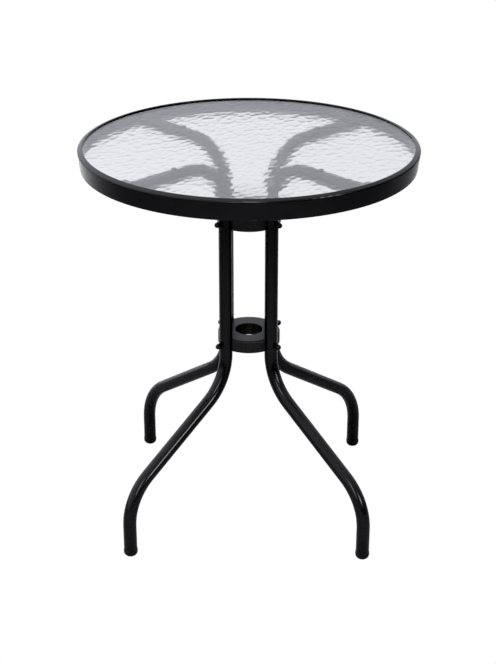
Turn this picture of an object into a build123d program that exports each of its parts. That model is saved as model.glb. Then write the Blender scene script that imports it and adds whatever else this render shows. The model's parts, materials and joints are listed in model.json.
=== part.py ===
from build123d import *
import math
import os

# Round garden table: hammered glass in a black steel rim, carried by four bent tube legs
# that two moulded hubs tie together. Millimetres, +Z up, origin on the floor under the centre.

# Rim, glass and its edging
TABLE_HEIGHT = 702.0
RIM_RADIUS = 293.5  # to the corner of lip and wall
RIM_HEIGHT = 35.5
RIM_LEAN = 4.0  # the wall's foot stands this far inside its top
RIM_SHEET = 1.2
RIM_SHOULDER = 3.0  # outer radius of the bend between lip and wall
LIP_WIDTH = 9.5
LIP_RISE = 3.6  # the lip's crest stands this far above the corner of lip and wall
LIP_CREST = 3.0  # width of the crest along the lip's inner edge
LIP_EDGE = 2.0  # height of the inner edge, which is turned down to the glass
CREST_BEND = 3.0
EDGE_BEND = 1.5
LIP_ROUND = 0.5
HEM_HEIGHT = 4.0  # sheet folded back inside the wall's foot
HEM_ROUND = 1.0
GLASS_DROP = 2.5  # from the lip's crest down to the glass
GLASS_LAP = 3.0  # the glass reaches this far under the lip
GLASS_THICKNESS = 5.0
GLASS_ARRIS = 0.8  # ground edges of the glass
SEAL_FOOT = 2.3  # thickness of the edging under the glass
SEAL_SETBACK = 0.5  # the edging ends this far behind the lip's turned edge
SEAL_GAP = 0.6  # from the edging to the bend inside the shoulder
SEAL_ROUND = 0.5

# Legs: one tube each, from the foot past both hubs to the arm under the glass
TUBE_DIAMETER = 23.5
TUBE_WALL = 1.2
COLUMN_RADIUS = 57.0  # tube axis to table axis, between the hubs
FOOT_RADIUS = 292.0  # tube axis to table axis, at the floor
FOOT_STRAIGHT = 61.0  # height of the upright run at the foot
LEG_BEND = 100.0  # bend radius of the two lower bends, on the tube axis
ARM_BEND = 80.0  # bend radius under the glass, on the tube axis
KNEE_STRAIGHT = 7.0  # straight tube below the lower hub
NECK_STRAIGHT = 15.0  # straight tube above the upper hub
ARM_END_GAP = 1.0  # from the arm's plug to the bracket

# Hubs: the same moulding twice, open below, with a slot for each bolt
LOWER_HUB_HEIGHT = 329.0  # its underside
HUB_SETBACK = 1.0  # the hub's edge stands this far inside the tube axes
HUB_THICKNESS = 23.0
HUB_BORE = 49.0
HUB_ROUND = 3.5
HUB_FOOT_ROUND = 1.0
BORE_ROUND = 1.5
HUB_WALL = 3.0
HUB_SKIN = 4.5
NOTCH_GAP = 0.15

# Fasteners, with plain shanks
BOLT_DIAMETER = 6.0
BOLT_HOLE_GAP = 0.3
THREAD_GAP = 0.1
HEX_WIDTH = 10.0  # across flats, bolt heads and cap nuts
HEX_GAP = 0.3
BOLT_HEAD_HEIGHT = 4.0
NUT_HEX_HEIGHT = 5.5
NUT_HEIGHT = 12.0
NUT_DOME_DIAMETER = 9.4
NUT_BORE_DEPTH = 8.0
NUT_BORE_SPARE = 1.0  # free depth past the bolt's end
SCREW_HEAD_DIAMETER = 10.5
SCREW_HEAD_HEIGHT = 3.3
SOCKET_WIDTH = 4.0
SOCKET_DEPTH = 2.0

# Brackets between rim and arms
BRACKET_SHEET = 2.5
BRACKET_WIDTH = 22.0
BRACKET_DROP = 16.0  # height of the flange on the rim's wall
BRACKET_BEND = 2.0
BRACKET_CORNER = 5.0
WELD_GAP = 0.1
SCREW_INSET = 9.0  # from the bracket's free edge to the screw's axis
SCREW_SPACE = 10.0  # from the tube's end to the screw's axis

# Plastic and rubber pieces
INSERT_LENGTH = 18.0
INSERT_GAP = 0.15
RIB_DEPTH = 0.6
RIB_HEIGHT = 2.0
RIB_COUNT = 4
PLUG_FLANGE = 2.0
PLUG_ROUND = 1.2
CAP_HEIGHT = 13.0
CAP_OVERHANG = 0.7
CAP_TIP_RADIUS = 5.0
CAP_DOME_HEIGHT = 8.5
CAP_ROUND = 0.6
PAD_POSITION = 170.0  # pad axis to table axis
PAD_DIAMETER = 10.0
PAD_HEIGHT = 2.0  # above the tube; the glass comes down on it only when it bends
PAD_ROUND = 1.0
PAD_PEG_DIAMETER = 5.0
PAD_PEG_DEPTH = 4.0
PAD_SEAT_GAP = 0.05

# Where the legs stand: the angle of each corner about the table's axis
CORNERS = {"front_left": 225.0, "front_right": 315.0, "back_right": 45.0, "back_left": 135.0}

# Sizes that follow from the ones above
rim_foot = TABLE_HEIGHT - RIM_HEIGHT
shoulder_height = TABLE_HEIGHT - LIP_RISE
lip_radius = RIM_RADIUS - LIP_WIDTH
lip_foot = TABLE_HEIGHT - LIP_EDGE
crest_radius = lip_radius + LIP_CREST
crest_underside = TABLE_HEIGHT - RIM_SHEET
lip_slope = LIP_RISE / (LIP_WIDTH - LIP_CREST)
glass_top_height = TABLE_HEIGHT - GLASS_DROP
glass_underside = glass_top_height - GLASS_THICKNESS
seal_radius = RIM_RADIUS - RIM_SHOULDER - SEAL_GAP
glass_radius = lip_radius + GLASS_LAP
bracket_top = glass_underside - SEAL_FOOT
bracket_underside = bracket_top - BRACKET_SHEET
bracket_foot = bracket_top - BRACKET_DROP
tube_radius = TUBE_DIAMETER / 2
tube_bore = tube_radius - TUBE_WALL
arm_height = bracket_underside - tube_radius
hub_radius = COLUMN_RADIUS - HUB_SETBACK
bore_radius = HUB_BORE / 2
upper_hub_height = arm_height - ARM_BEND - NECK_STRAIGHT - HUB_THICKNESS
knee_height = LOWER_HUB_HEIGHT - KNEE_STRAIGHT
bolt_height = HUB_THICKNESS / 2
hex_corner = HEX_WIDTH / math.sqrt(3)
bolt_seat = bore_radius + HUB_WALL + BOLT_HEAD_HEIGHT + HEX_GAP
nut_seat = COLUMN_RADIUS + tube_radius
bolt_hole_radius = BOLT_DIAMETER / 2 + BOLT_HOLE_GAP
shank_radius = BOLT_DIAMETER / 2 - THREAD_GAP


def wall_outer(height):
    """Outside radius of the leaning rim wall at a height."""
    return RIM_RADIUS - RIM_LEAN * (shoulder_height - height) / (shoulder_height - rim_foot)


def wall_inner(height):
    """Inside radius of the leaning rim wall at a height."""
    return wall_outer(height) - RIM_SHEET


def lip_underside(radius):
    """Height of the sloping lip's underside at a radius outside its crest."""
    sheet_height = RIM_SHEET * math.hypot(1, lip_slope)
    return TABLE_HEIGHT - sheet_height - lip_slope * (radius - crest_radius)


crest_fold = (crest_radius + (lip_underside(crest_radius) - crest_underside) / lip_slope, crest_underside)
arm_tip = wall_inner(bracket_foot) - WELD_GAP - BRACKET_SHEET - ARM_END_GAP
tube_end = arm_tip - PLUG_FLANGE
screw_position = tube_end - SCREW_SPACE
bracket_edge = screw_position - SCREW_INSET


def rounded(section, point, radius):
    """Round the corner of a flat section that lies nearest to a point."""
    return fillet(section.vertices().sort_by_distance(point)[0], radius)


def turned(section):
    """Turn a section, drawn as radius and height, about the Z axis."""
    return revolve(Plane.XZ * section, Axis.Z)


def rod(radius, start, end):
    """Cylinder along Z between two heights."""
    align = (Align.CENTER, Align.CENTER, Align.MIN)
    return Pos(0, 0, start) * Cylinder(radius, end - start, align=align)


def hexagon(width, start, end):
    """Hexagonal prism along Z, with two flats facing along Y."""
    outline = RegularPolygon(width / 2, 6, major_radius=False)
    return Pos(0, 0, start) * extrude(outline, end - start)


def four(shape):
    """The same piece at each of the four corners."""
    return Compound([copy for angle in CORNERS.values() for copy in (Rot(0, 0, angle) * shape).solids()])


def rim_band():
    """Rolled steel rim: sloping lip with a turned edge, rounded shoulder, leaning wall and folded hem."""
    hem_top = rim_foot + HEM_HEIGHT
    corner = (RIM_RADIUS, shoulder_height)
    crest = (crest_radius, TABLE_HEIGHT)
    inner_radius = wall_inner(shoulder_height - RIM_SHEET)
    inner_corner = (inner_radius, lip_underside(inner_radius))
    edge_top = (lip_radius, TABLE_HEIGHT)
    edge_foot = [(lip_radius, lip_foot), (lip_radius + RIM_SHEET, lip_foot)]
    lip = [crest, edge_top, *edge_foot, (lip_radius + RIM_SHEET, crest_underside), crest_fold]
    fold = [(wall_inner(rim_foot) - RIM_SHEET, rim_foot), (wall_outer(rim_foot), rim_foot)]
    hem_edge = [(wall_inner(hem_top), hem_top), (wall_inner(hem_top) - RIM_SHEET, hem_top)]
    section = make_face(Polyline(corner, *lip, inner_corner, *hem_edge, *fold, close=True))
    section = rounded(section, corner, RIM_SHOULDER)
    section = rounded(section, crest, CREST_BEND)
    section = rounded(section, edge_top, EDGE_BEND)
    section = rounded(section, inner_corner, RIM_SHOULDER - RIM_SHEET)
    for point in edge_foot:
        section = rounded(section, point, LIP_ROUND)
    for point in fold:
        section = rounded(section, point, HEM_ROUND)
    return turned(section)


def glass_top():
    """Round glass plate with ground edges."""
    plate = rod(glass_radius, glass_underside, glass_top_height)
    return chamfer(plate.edges().filter_by(GeomType.CIRCLE), GLASS_ARRIS)


def glass_seal():
    """Channel-shaped edging that wraps the edge of the glass under the lip."""
    inner = lip_radius + RIM_SHEET + SEAL_SETBACK
    outer_corners = [(seal_radius, lip_underside(seal_radius)), (seal_radius, bracket_top)]
    lower_edge = [(inner, bracket_top), (inner, glass_underside)]
    groove = [(glass_radius, glass_underside), (glass_radius, glass_top_height)]
    upper_edge = [(inner, glass_top_height), (inner, crest_underside), crest_fold]
    section = make_face(Polyline(*outer_corners, *lower_edge, *groove, *upper_edge, close=True))
    for point in outer_corners:
        section = rounded(section, point, SEAL_ROUND)
    return turned(section)


def arm_bracket():
    """Bent tab on the rim's wall, under the glass edge, with a tapped hole for the arm's screw."""
    back_top = wall_inner(bracket_top) - WELD_GAP
    back_foot = wall_inner(bracket_foot) - WELD_GAP
    inner_bend = (wall_inner(bracket_underside) - WELD_GAP - BRACKET_SHEET, bracket_underside)
    flange_foot = [(back_foot, bracket_foot), (back_foot - BRACKET_SHEET, bracket_foot)]
    plate_edge = [(bracket_edge, bracket_underside), (bracket_edge, bracket_top)]
    section = make_face(Polyline((back_top, bracket_top), *flange_foot, inner_bend, *plate_edge, close=True))
    section = rounded(section, (back_top, bracket_top), BRACKET_BEND + BRACKET_SHEET)
    section = rounded(section, inner_bend, BRACKET_BEND)
    strip = Pos(RIM_RADIUS / 2, 0, bracket_top) * Box(RIM_RADIUS, BRACKET_WIDTH, 2 * BRACKET_DROP)
    tab = turned(section) & strip
    free_corners = tab.edges().filter_by(Axis.Z).group_by(Axis.X)[0]
    tab = fillet(free_corners, BRACKET_CORNER)
    return tab - Pos(screw_position, 0, 0) * rod(BOLT_DIAMETER / 2, bracket_underside, bracket_top)


def leg_path():
    """Tube axis of a leg in the XZ plane, from the foot up to the arm's end."""
    across = FOOT_RADIUS - COLUMN_RADIUS - 2 * LEG_BEND
    down = knee_height - FOOT_STRAIGHT
    slope = math.atan2(-down, across) + math.acos(-2 * LEG_BEND / math.hypot(across, down))
    bend_reach = LEG_BEND * math.tan(slope / 2)
    return FilletPolyline(
        (FOOT_RADIUS, 0, CAP_HEIGHT),
        (FOOT_RADIUS, 0, FOOT_STRAIGHT + bend_reach),
        (COLUMN_RADIUS, 0, knee_height - bend_reach),
        (COLUMN_RADIUS, 0, arm_height),
        (tube_end, 0, arm_height),
        radius=[LEG_BEND, LEG_BEND, ARM_BEND],
    )


def leg():
    """Bent tube with holes for both hub bolts, the rim screw and the glass pad."""
    ring = Circle(tube_radius) - Circle(tube_bore)
    tube = sweep(Pos(FOOT_RADIUS, 0, CAP_HEIGHT) * ring, leg_path())
    for hub_height in (LOWER_HUB_HEIGHT, upper_hub_height):
        drill = Rot(0, 90, 0) * Cylinder(bolt_hole_radius, 2 * TUBE_DIAMETER)
        tube -= Pos(COLUMN_RADIUS, 0, hub_height + bolt_height) * drill
    tube -= Pos(screw_position, 0, arm_height) * Cylinder(bolt_hole_radius, 2 * TUBE_DIAMETER)
    tube -= Pos(PAD_POSITION, 0, arm_height) * rod(PAD_PEG_DIAMETER / 2 + PAD_SEAT_GAP, 0, TUBE_DIAMETER)
    return tube


def insert_outline(start):
    """Half outline of a ribbed stem that plugs a tube, from a height upwards to the axis."""
    rib = tube_bore - INSERT_GAP
    core = rib - RIB_DEPTH
    pitch = INSERT_LENGTH / RIB_COUNT
    points = [(core, start)]
    for index in range(RIB_COUNT):
        foot = start + (index + 1) * pitch - RIB_HEIGHT
        points += [(core, foot), (rib, foot), (rib, foot + RIB_HEIGHT), (core, foot + RIB_HEIGHT)]
    return points + [(0, points[-1][1])]


def foot_cap():
    """Plug in the lower tube end, with a collar and a domed foot that has a small flat."""
    collar = tube_radius + CAP_OVERHANG
    dome = RadiusArc((CAP_TIP_RADIUS, 0), (collar, CAP_DOME_HEIGHT), -CAP_DOME_HEIGHT)
    upper = Polyline((collar, CAP_DOME_HEIGHT), (collar, CAP_HEIGHT), *insert_outline(CAP_HEIGHT), (0, 0))
    section = make_face([Line((0, 0), (CAP_TIP_RADIUS, 0)), dome, *upper.edges()])
    section = rounded(section, (collar, CAP_HEIGHT), CAP_ROUND)
    return Pos(FOOT_RADIUS, 0, 0) * turned(section)


def arm_plug():
    """Drilled plug in the outer end of an arm, with a rounded flange as wide as the tube."""
    flange = [(0, 0), (tube_radius, 0), (tube_radius, PLUG_FLANGE)]
    section = make_face(Polyline(*flange, *insert_outline(PLUG_FLANGE), close=True))
    section = rounded(section, (tube_radius, 0), PLUG_ROUND)
    plug = Pos(arm_tip, 0, arm_height) * Rot(0, -90, 0) * turned(section)
    return plug - Pos(screw_position, 0, arm_height) * Cylinder(bolt_hole_radius, TUBE_DIAMETER)


def hub():
    """Moulded disc with a bore, a notch for each tube, hollows below and a slot for each bolt."""
    foot_edge = (hub_radius, 0)
    top_edge = (hub_radius, HUB_THICKNESS)
    bore_edges = [(bore_radius, HUB_THICKNESS), (bore_radius, 0)]
    section = make_face(Polyline(foot_edge, top_edge, *bore_edges, close=True))
    section = rounded(section, foot_edge, HUB_FOOT_ROUND)
    section = rounded(section, top_edge, HUB_ROUND)
    for point in bore_edges:
        section = rounded(section, point, BORE_ROUND)
    body = turned(section)
    hollow = rod(hub_radius - HUB_WALL, 0, HUB_THICKNESS - HUB_SKIN)
    hollow -= rod(bore_radius + HUB_WALL, 0, HUB_THICKNESS)
    for angle in CORNERS.values():
        hollow -= Rot(0, 0, angle) * saddle()
    body -= hollow
    for angle in CORNERS.values():
        notch = Pos(COLUMN_RADIUS, 0, 0) * rod(tube_radius + NOTCH_GAP, 0, HUB_THICKNESS)
        body -= Rot(0, 0, angle) * (notch + bolt_slot())
    return body


def saddle():
    """Solid block of a hub around one notch and its bolt slot."""
    block_width = HEX_WIDTH + 2 * (HEX_GAP + HUB_WALL)
    align = (Align.MIN, Align.CENTER, Align.MIN)
    block = Box(COLUMN_RADIUS, block_width, HUB_THICKNESS, align=align)
    return block + Pos(COLUMN_RADIUS, 0, 0) * rod(tube_radius + NOTCH_GAP + HUB_WALL, 0, HUB_THICKNESS)


def bolt_slot():
    """Slot open below a hub: a neck for the bolt's shank and a wider pocket for its head."""
    align = (Align.MIN, Align.CENTER, Align.MIN)
    neck_length = COLUMN_RADIUS - bolt_seat
    neck = Pos(bolt_seat, 0, 0) * Box(neck_length, 2 * bolt_hole_radius, bolt_height, align=align)
    crown = Pos(bolt_seat, 0, bolt_height) * Rot(0, 90, 0) * rod(bolt_hole_radius, 0, neck_length)
    pocket_length = BOLT_HEAD_HEIGHT + HEX_GAP
    pocket_height = bolt_height + hex_corner + HEX_GAP
    pocket = Box(pocket_length, HEX_WIDTH + 2 * HEX_GAP, pocket_height, align=align)
    return neck + crown + Pos(bolt_seat - pocket_length, 0, 0) * pocket


def hub_bolt():
    """Hexagon-head bolt that lies in a hub's slot and runs out through the leg."""
    length = nut_seat + NUT_BORE_DEPTH - NUT_BORE_SPARE - bolt_seat
    bolt = hexagon(HEX_WIDTH, -BOLT_HEAD_HEIGHT, 0) + rod(shank_radius, 0, length)
    return Pos(bolt_seat, 0, bolt_height) * Rot(0, 90, 0) * bolt


def hub_nut():
    """Cap nut outside the leg: hexagon, short neck and round dome over a blind hole."""
    dome_radius = NUT_DOME_DIAMETER / 2
    dome_start = NUT_HEIGHT - dome_radius
    crown = RadiusArc((dome_radius, dome_start), (0, NUT_HEIGHT), -dome_radius)
    sides = Polyline((0, NUT_HEIGHT), (0, 0), (dome_radius, 0), (dome_radius, dome_start))
    nut = turned(make_face([crown, *sides.edges()])) + hexagon(HEX_WIDTH, 0, NUT_HEX_HEIGHT)
    nut -= rod(BOLT_DIAMETER / 2, 0, NUT_BORE_DEPTH)
    return Pos(nut_seat, 0, bolt_height) * Rot(0, 90, 0) * nut


def rim_screw():
    """Button-head screw that goes up through the arm's end and its plug into the bracket."""
    head_radius = SCREW_HEAD_DIAMETER / 2
    button_radius = (head_radius**2 + SCREW_HEAD_HEIGHT**2) / (2 * SCREW_HEAD_HEIGHT)
    button = RadiusArc((0, -SCREW_HEAD_HEIGHT), (head_radius, 0), -button_radius)
    sides = Polyline((head_radius, 0), (0, 0), (0, -SCREW_HEAD_HEIGHT))
    screw = turned(make_face([button, *sides.edges()]))
    screw -= hexagon(SOCKET_WIDTH, -SCREW_HEAD_HEIGHT, SOCKET_DEPTH - SCREW_HEAD_HEIGHT)
    screw += rod(shank_radius, 0, bracket_top - arm_height + tube_radius)
    return Pos(screw_position, 0, arm_height - tube_radius) * screw


def glass_pad():
    """Rubber pad on an arm, a little below the glass, with a saddle on the tube and a peg in its hole."""
    peg_top = arm_height + tube_radius
    head = rod(PAD_DIAMETER / 2, arm_height, peg_top + PAD_HEIGHT)
    head = fillet(head.edges().group_by(Axis.Z)[-1], PAD_ROUND)
    head -= Pos(0, 0, arm_height) * Rot(0, 90, 0) * Cylinder(tube_radius + PAD_SEAT_GAP, TUBE_DIAMETER)
    peg = rod(PAD_PEG_DIAMETER / 2, peg_top - PAD_PEG_DEPTH, peg_top + PAD_SEAT_GAP)
    return Pos(PAD_POSITION, 0, 0) * (head + peg)


parts = {"rim_band": rim_band(), "glass_top": glass_top(), "glass_seal": glass_seal()}
for level, height in (("lower", LOWER_HUB_HEIGHT), ("upper", upper_hub_height)):
    parts[f"{level}_hub"] = Pos(0, 0, height) * hub()
    parts[f"hub_bolts_{level}"] = Pos(0, 0, height) * four(hub_bolt())
    parts[f"hub_nuts_{level}"] = Pos(0, 0, height) * four(hub_nut())
parts["rim_screws"] = four(rim_screw())
corner_pieces = {
    "leg": leg(),
    "foot_cap": foot_cap(),
    "arm_plug": arm_plug(),
    "arm_bracket": arm_bracket(),
    "glass_pad": glass_pad(),
}
for piece, shape in corner_pieces.items():
    for corner, angle in CORNERS.items():
        parts[f"{piece}_{corner}"] = Rot(0, 0, angle) * shape

os.makedirs("parts", exist_ok=True)
for node, shape in parts.items():
    export_step(shape, f"parts/{node}.step")
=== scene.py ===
import json
import math

import bpy
import numpy as np
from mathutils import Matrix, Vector


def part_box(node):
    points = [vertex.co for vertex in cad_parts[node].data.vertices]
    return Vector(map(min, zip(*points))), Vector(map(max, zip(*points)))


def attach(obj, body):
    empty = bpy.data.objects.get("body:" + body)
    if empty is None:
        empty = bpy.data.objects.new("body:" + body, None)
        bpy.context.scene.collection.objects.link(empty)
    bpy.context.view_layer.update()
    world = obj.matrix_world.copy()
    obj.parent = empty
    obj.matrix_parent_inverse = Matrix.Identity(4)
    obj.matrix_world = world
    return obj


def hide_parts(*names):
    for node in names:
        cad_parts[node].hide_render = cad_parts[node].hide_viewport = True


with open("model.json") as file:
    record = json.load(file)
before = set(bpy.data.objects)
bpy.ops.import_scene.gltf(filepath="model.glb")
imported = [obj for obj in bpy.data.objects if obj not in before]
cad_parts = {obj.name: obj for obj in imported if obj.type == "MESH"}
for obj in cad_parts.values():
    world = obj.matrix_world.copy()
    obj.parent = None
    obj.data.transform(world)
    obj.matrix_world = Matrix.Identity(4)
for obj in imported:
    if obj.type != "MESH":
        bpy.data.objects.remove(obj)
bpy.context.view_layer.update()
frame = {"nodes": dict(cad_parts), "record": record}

# Camera: where the photograph was taken from, in metres and degrees
CAMERA_DISTANCE = 2.3893  # along the floor, from the table's axis
CAMERA_HEIGHT = 1.4434
CAMERA_TURN = 1.27  # round the table's axis, from straight in front
CAMERA_YAW = 0.042  # to the left of the table's axis
CAMERA_PITCH = 24.679  # below the horizon
FOCAL_LENGTH = 78.48  # millimetres
SENSOR_WIDTH = 36.0  # millimetres
BLACK_LEVEL = (0.0080, 0.0083, 0.0090)  # what is darker shows as black

# Soft light all round: brightness from everywhere, and what each side adds and its opposite loses
LIGHT_EVEN = 0.56
LIGHT_BACK = 0.34
LIGHT_LEFT = 0.36
LIGHT_ABOVE = 0.22
LIGHT_COLOUR = (0.95, 0.97, 1.05)

# Lamps: place, the point they face, width and height, in metres; power in watts; spread in degrees;
# whether shiny surfaces mirror them
LAMPS = {
    "front": dict(place=(-0.2, -2.8, 1.9), aim=(-0.1, -0.2, 0.3), size=(0.7, 1.8),
                  power=1.15, spread=50.0, mirrored=True),
    "front_right": dict(place=(1.61, -1.80, 1.15), aim=(-0.12, -0.12, 0.19), size=(0.8, 0.8),
                        power=0.42, spread=28.0, mirrored=True),
    "front_floor": dict(place=(0.0, -0.8, 1.8), aim=(0.0, -0.8, 0.0), size=(2.0, 0.6),
                        power=9.0, spread=76.0, mirrored=False),
    "back_floor": dict(place=(-0.42, 6.6, 1.8), aim=(-0.42, 6.6, 0.0), size=(2.4, 11.6),
                       power=338.0, spread=70.0, mirrored=False),
}

# Finishes: two shades that drift in clouds of a size, a range of roughness, the size and depth of the
# grain, in metres, and the strength of the mirrored light
FINISHES = {
    "powder_coat": dict(dark=(0.004, 0.004, 0.005), light=(0.007, 0.007, 0.008), cloud=0.05,
                        roughness=(0.15, 0.19), grain=0.003, relief=0.000005, specular=0.45),
    "hub_plastic": dict(dark=(0.010, 0.010, 0.011), light=(0.016, 0.016, 0.017), cloud=0.02,
                        roughness=(0.4, 0.5), grain=0.0007, relief=0.00004, specular=0.45),
    "cap_plastic": dict(dark=(0.006, 0.006, 0.007), light=(0.011, 0.011, 0.012), cloud=0.01,
                        roughness=(0.42, 0.55), grain=0.0006, relief=0.00004, specular=0.35),
    "edging": dict(dark=(0.008, 0.008, 0.008), light=(0.014, 0.014, 0.014), cloud=0.02,
                   roughness=(0.6, 0.75), grain=0.0008, relief=0.00005, specular=0.3),
    "pad_rubber": dict(dark=(0.007, 0.007, 0.007), light=(0.013, 0.013, 0.013), cloud=0.005,
                       roughness=(0.65, 0.8), grain=0.0006, relief=0.00005, specular=0.3),
    "fastener": dict(dark=(0.006, 0.006, 0.006), light=(0.012, 0.012, 0.012), cloud=0.006,
                     roughness=(0.28, 0.4), grain=0.0008, relief=0.00003, specular=0.4),
}
CLOUD_DETAIL = 4.0
GRAIN_DETAIL = 2.0
NOISE_LOW = 0.3  # noise hardly ever leaves the range between these two
NOISE_HIGH = 0.7

# Floor of the stage
FLOOR_FINISH = dict(dark=(0.235, 0.235, 0.24), light=(0.245, 0.245, 0.25), cloud=0.6,
                    roughness=(0.8, 0.9), grain=0.01, relief=0.0001, specular=0.1)
FLOOR_REACH = 15.0

# Hammered glass: long shallow bosses on its underside, in metres
GLASS_TINT = (0.795, 0.80, 0.82)
GLASS_INDEX = 1.5  # of refraction
GLASS_ROUGHNESS = (0.06, 0.11)
GLASS_GRAIN = 0.006
BOSS_LENGTH = 0.016
BOSS_WIDTH = 0.011
BOSS_TURN = 70.0  # of the bosses' long side, from +X
BOSS_SCATTER = 0.8  # share of a boss by which its centre strays
BOSS_SOFTNESS = 9.0  # the higher, the sharper the valleys between bosses
BOSS_REACH = 2  # a boss shapes the glass as far as this many bosses away
VALLEY = 0.5  # squared distance from the bosses' centres, in bosses, where a valley is deepest
RELIEF_DEPTH = 0.00023
RELIEF_FADE = 0.006  # the relief dies away in this much of the edge
GLASS_ARRIS = 0.0008
GLASS_DIVISIONS = 300
SEED = 7


def new_node(tree, kind, **settings):
    """A new node of a material with its settings."""
    node = tree.nodes.new(kind)
    for name, value in settings.items():
        setattr(node, name, value)
    return node


def noise(tree, size, detail):
    """Noise with bumps of a real size, in metres."""
    place = new_node(tree, "ShaderNodeTexCoord")
    texture = new_node(tree, "ShaderNodeTexNoise")
    texture.inputs["Scale"].default_value = 1.0 / size
    texture.inputs["Detail"].default_value = detail
    tree.links.new(place.outputs["Object"], texture.inputs["Vector"])
    return texture.outputs["Fac"]


def drift(tree, source, low, high):
    """A number that moves between two values with a noise."""
    spread = new_node(tree, "ShaderNodeMapRange")
    spread.inputs["From Min"].default_value = NOISE_LOW
    spread.inputs["From Max"].default_value = NOISE_HIGH
    spread.inputs["To Min"].default_value = low
    spread.inputs["To Max"].default_value = high
    tree.links.new(source, spread.inputs["Value"])
    return spread.outputs["Result"]


def surface(name, dark, light, cloud, roughness, grain, relief, specular):
    """Material whose colour drifts in soft clouds, and its gloss and relief in a fine grain."""
    material = bpy.data.materials.new(name)
    material.use_nodes = True
    tree = material.node_tree
    shader = tree.nodes["Principled BSDF"]
    shader.inputs["Specular IOR Level"].default_value = specular
    clouds = noise(tree, cloud, CLOUD_DETAIL)
    ramp = new_node(tree, "ShaderNodeValToRGB")
    ramp.color_ramp.elements[0].position = NOISE_LOW
    ramp.color_ramp.elements[0].color = (*dark, 1.0)
    ramp.color_ramp.elements[1].position = NOISE_HIGH
    ramp.color_ramp.elements[1].color = (*light, 1.0)
    tree.links.new(clouds, ramp.inputs["Fac"])
    tree.links.new(ramp.outputs["Color"], shader.inputs["Base Color"])
    fine = noise(tree, grain, GRAIN_DETAIL)
    tree.links.new(drift(tree, fine, *roughness), shader.inputs["Roughness"])
    bump = new_node(tree, "ShaderNodeBump")
    bump.inputs["Strength"].default_value = 1.0
    bump.inputs["Distance"].default_value = relief
    tree.links.new(fine, bump.inputs["Height"])
    tree.links.new(bump.outputs["Normal"], shader.inputs["Normal"])
    return material


def hammered_glass():
    """Clear glass, a little blue-grey, whose gloss drifts as rolled glass does."""
    material = bpy.data.materials.new("hammered_glass")
    material.use_nodes = True
    tree = material.node_tree
    shader = tree.nodes["Principled BSDF"]
    shader.inputs["Base Color"].default_value = (*GLASS_TINT, 1.0)
    shader.inputs["Transmission Weight"].default_value = 1.0
    shader.inputs["IOR"].default_value = GLASS_INDEX
    fine = noise(tree, GLASS_GRAIN, GRAIN_DETAIL)
    tree.links.new(drift(tree, fine, *GLASS_ROUGHNESS), shader.inputs["Roughness"])
    return material


def make_materials():
    """One material for each finish that the record names."""
    made = {name: surface(name, **finish) for name, finish in FINISHES.items()}
    made["hammered_glass"] = hammered_glass()
    return made


def disc_grid(radius, divisions):
    """Square grid bent into a disc: its points, row by row, as X and Y."""
    side = np.linspace(-1.0, 1.0, divisions + 1)
    a, b = np.meshgrid(side, side)
    wide = np.abs(a) > np.abs(b)
    reach = np.where(wide, a, b)
    other = np.where(wide, b, a)
    turn = math.pi / 4 * np.divide(other, reach, out=np.zeros_like(reach), where=reach != 0)
    angle = np.where(wide, turn, math.pi / 2 - turn)
    return (radius * reach * np.cos(angle)).ravel(), (radius * reach * np.sin(angle)).ravel()


def bosses(x, y):
    """Depth of the hammered relief, from 0 on a boss to 1 in a deep valley."""
    turn = math.radians(BOSS_TURN)
    u = (x * math.cos(turn) + y * math.sin(turn)) / BOSS_LENGTH
    v = (y * math.cos(turn) - x * math.sin(turn)) / BOSS_WIDTH
    column = np.floor(u).astype(int)
    row = np.floor(v).astype(int)
    span = max(np.abs(column).max(), np.abs(row).max()) + BOSS_REACH + 1
    most = BOSS_SCATTER / 2
    stray = np.random.default_rng(SEED).uniform(-most, most, (2 * span, 2 * span, 2))
    nearness = np.zeros_like(u)
    for step_u in range(-BOSS_REACH, BOSS_REACH + 1):
        for step_v in range(-BOSS_REACH, BOSS_REACH + 1):
            shift = stray[column + step_u + span, row + step_v + span]
            # Every second row of bosses is set off by half a boss.
            offset = 0.5 + 0.5 * ((row + step_v) % 2)
            du = column + step_u + offset + shift[:, 0] - u
            dv = row + step_v + 0.5 + shift[:, 1] - v
            nearness += np.exp(-BOSS_SOFTNESS * (du**2 + dv**2))
    depth = -np.log(nearness) / BOSS_SOFTNESS
    return np.clip((depth - depth.min()) / VALLEY, 0.0, 1.0)


def hammered_face(radius, height):
    """Underside of the glass: its points, its square faces, and the points of its outline in order."""
    x, y = disc_grid(radius, GLASS_DIVISIONS)
    edge = np.clip((radius - np.hypot(x, y)) / RELIEF_FADE, 0.0, 1.0)
    z = height + RELIEF_DEPTH * bosses(x, y) * edge
    points = list(zip(x.tolist(), y.tolist(), z.tolist()))
    side = GLASS_DIVISIONS + 1
    faces = []
    for row in range(GLASS_DIVISIONS):
        for column in range(GLASS_DIVISIONS):
            corner = row * side + column
            faces.append((corner, corner + side, corner + side + 1, corner + 1))
    outline = list(range(side))
    outline += [row * side + GLASS_DIVISIONS for row in range(1, side)]
    outline += [GLASS_DIVISIONS * side + column for column in range(GLASS_DIVISIONS - 1, -1, -1)]
    outline += [row * side for row in range(GLASS_DIVISIONS - 1, 0, -1)]
    return points, faces, outline


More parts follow.
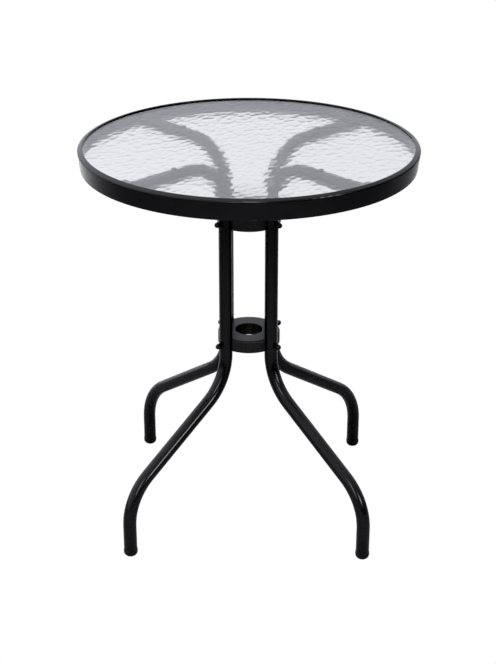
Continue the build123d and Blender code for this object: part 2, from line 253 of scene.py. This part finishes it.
def make_glass(material):
    """Round plate with a smooth top, ground edges and hammered bosses below."""
    low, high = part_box("glass_top")
    radius = (high[0] - low[0]) / 2
    points, faces, ring = hammered_face(radius - GLASS_ARRIS, low[2])
    smooth = len(faces)
    edges = [
        (radius, low[2] + GLASS_ARRIS),
        (radius, high[2] - GLASS_ARRIS),
        (radius - GLASS_ARRIS, high[2]),
    ]
    for reach, height in edges:
        next_ring = []
        for index in ring:
            px, py, _ = points[index]
            scale = reach / math.hypot(px, py)
            next_ring.append(len(points))
            points.append((px * scale, py * scale, height))
        for index in range(len(ring)):
            after = (index + 1) % len(ring)
            faces.append((ring[index], ring[after], next_ring[after], next_ring[index]))
        ring = next_ring
    centre = len(points)
    points.append((0.0, 0.0, high[2]))
    for index in range(len(ring)):
        faces.append((ring[index], ring[(index + 1) % len(ring)], centre))
    mesh = bpy.data.meshes.new("glass_plate")
    mesh.from_pydata(points, [], faces)
    mesh.polygons.foreach_set("use_smooth", [index < smooth for index in range(len(faces))])
    mesh.update()
    glass = bpy.data.objects.new("glass_plate", mesh)
    bpy.context.collection.objects.link(glass)
    mesh.materials.append(material)
    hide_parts("glass_top")
    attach(glass, "root")


def floor_material():
    """Matte floor that shows as the photograph's plain white, through the glass as well.

    It is clear from below, so that it doesn't hide the underside of the table.
    """
    material = surface("pale_floor", **FLOOR_FINISH)
    tree = material.node_tree
    white = new_node(tree, "ShaderNodeEmission")
    path = new_node(tree, "ShaderNodeLightPath")
    seen = new_node(tree, "ShaderNodeMath", operation="MAXIMUM")
    tree.links.new(path.outputs["Is Camera Ray"], seen.inputs[0])
    tree.links.new(path.outputs["Is Transmission Ray"], seen.inputs[1])
    top = new_node(tree, "ShaderNodeMixShader")
    tree.links.new(seen.outputs["Value"], top.inputs["Fac"])
    tree.links.new(tree.nodes["Principled BSDF"].outputs["BSDF"], top.inputs[1])
    tree.links.new(white.outputs["Emission"], top.inputs[2])
    side = new_node(tree, "ShaderNodeNewGeometry")
    clear = new_node(tree, "ShaderNodeBsdfTransparent")
    both = new_node(tree, "ShaderNodeMixShader")
    tree.links.new(side.outputs["Backfacing"], both.inputs["Fac"])
    tree.links.new(top.outputs["Shader"], both.inputs[1])
    tree.links.new(clear.outputs["BSDF"], both.inputs[2])
    tree.links.new(both.outputs["Shader"], tree.nodes["Material Output"].inputs["Surface"])
    return material


def make_world():
    """Soft light from all round, brightest behind, on the left and above.

    The camera sees it as the photograph's plain white.
    """
    world = bpy.data.worlds.new("studio")
    bpy.context.scene.world = world
    world.use_nodes = True
    tree = world.node_tree
    place = new_node(tree, "ShaderNodeTexCoord")
    share = new_node(tree, "ShaderNodeVectorMath", operation="DOT_PRODUCT")
    share.inputs[1].default_value = (-LIGHT_LEFT, LIGHT_BACK, LIGHT_ABOVE)
    total = new_node(tree, "ShaderNodeMath", operation="ADD")
    total.inputs[1].default_value = LIGHT_EVEN
    tree.links.new(place.outputs["Generated"], share.inputs[0])
    tree.links.new(share.outputs["Value"], total.inputs[0])
    tree.links.new(total.outputs["Value"], tree.nodes["Background"].inputs["Strength"])
    tree.nodes["Background"].inputs["Color"].default_value = (*LIGHT_COLOUR, 1.0)
    white = new_node(tree, "ShaderNodeBackground")
    white.inputs["Color"].default_value = (1.0, 1.0, 1.0, 1.0)
    path = new_node(tree, "ShaderNodeLightPath")
    mix = new_node(tree, "ShaderNodeMixShader")
    tree.links.new(path.outputs["Is Camera Ray"], mix.inputs["Fac"])
    tree.links.new(tree.nodes["Background"].outputs["Background"], mix.inputs[1])
    tree.links.new(white.outputs["Background"], mix.inputs[2])
    tree.links.new(mix.outputs["Shader"], tree.nodes["World Output"].inputs["Surface"])


def make_lamp(name, place, aim, size, power, spread, mirrored):
    """Soft lamp that faces a point, within a spread, and that shiny surfaces mirror or not."""
    lamp = bpy.data.lights.new(name, "AREA")
    lamp.shape = "RECTANGLE"
    lamp.size, lamp.size_y = size
    lamp.energy = power
    lamp.spread = math.radians(spread)
    holder = bpy.data.objects.new(name, lamp)
    holder.location = place
    holder.rotation_euler = (Vector(aim) - Vector(place)).to_track_quat("-Z", "Y").to_euler()
    holder.visible_camera = False
    holder.visible_glossy = mirrored
    holder.visible_transmission = mirrored
    bpy.context.collection.objects.link(holder)


def make_stage():
    """Plain floor, soft light all round, two lamps that face the table and two that light the floor."""
    mesh = bpy.data.meshes.new("floor")
    corners = [
        (-FLOOR_REACH, -FLOOR_REACH, 0),
        (FLOOR_REACH, -FLOOR_REACH, 0),
        (FLOOR_REACH, FLOOR_REACH, 0),
        (-FLOOR_REACH, FLOOR_REACH, 0),
    ]
    mesh.from_pydata(corners, [], [(0, 1, 2, 3)])
    floor = bpy.data.objects.new("floor", mesh)
    bpy.context.collection.objects.link(floor)
    mesh.materials.append(floor_material())
    make_world()
    for name, lamp in LAMPS.items():
        make_lamp(name, **lamp)


def make_camera():
    """Camera at the photograph's place, with the photograph's contrast."""
    scene = bpy.context.scene
    camera = bpy.data.objects.new("camera", bpy.data.cameras.new("camera"))
    bpy.context.collection.objects.link(camera)
    camera.data.lens = FOCAL_LENGTH
    camera.data.sensor_width = SENSOR_WIDTH
    turn = math.radians(CAMERA_TURN)
    camera.location = (CAMERA_DISTANCE * math.sin(turn), -CAMERA_DISTANCE * math.cos(turn), CAMERA_HEIGHT)
    heading = math.radians(CAMERA_TURN + CAMERA_YAW)
    camera.rotation_euler = (math.radians(90.0 - CAMERA_PITCH), 0.0, heading)
    scene.camera = camera
    scene.view_settings.view_transform = "Standard"
    scene.view_settings.use_curve_mapping = True
    scene.view_settings.curve_mapping.black_level = BLACK_LEVEL


materials = make_materials()
for part in frame["record"]["subparts"]:
    for place in frame["nodes"][part["node"]].material_slots:
        place.material = materials[part["material_slot"]]
make_glass(materials["hammered_glass"])
make_stage()
make_camera()
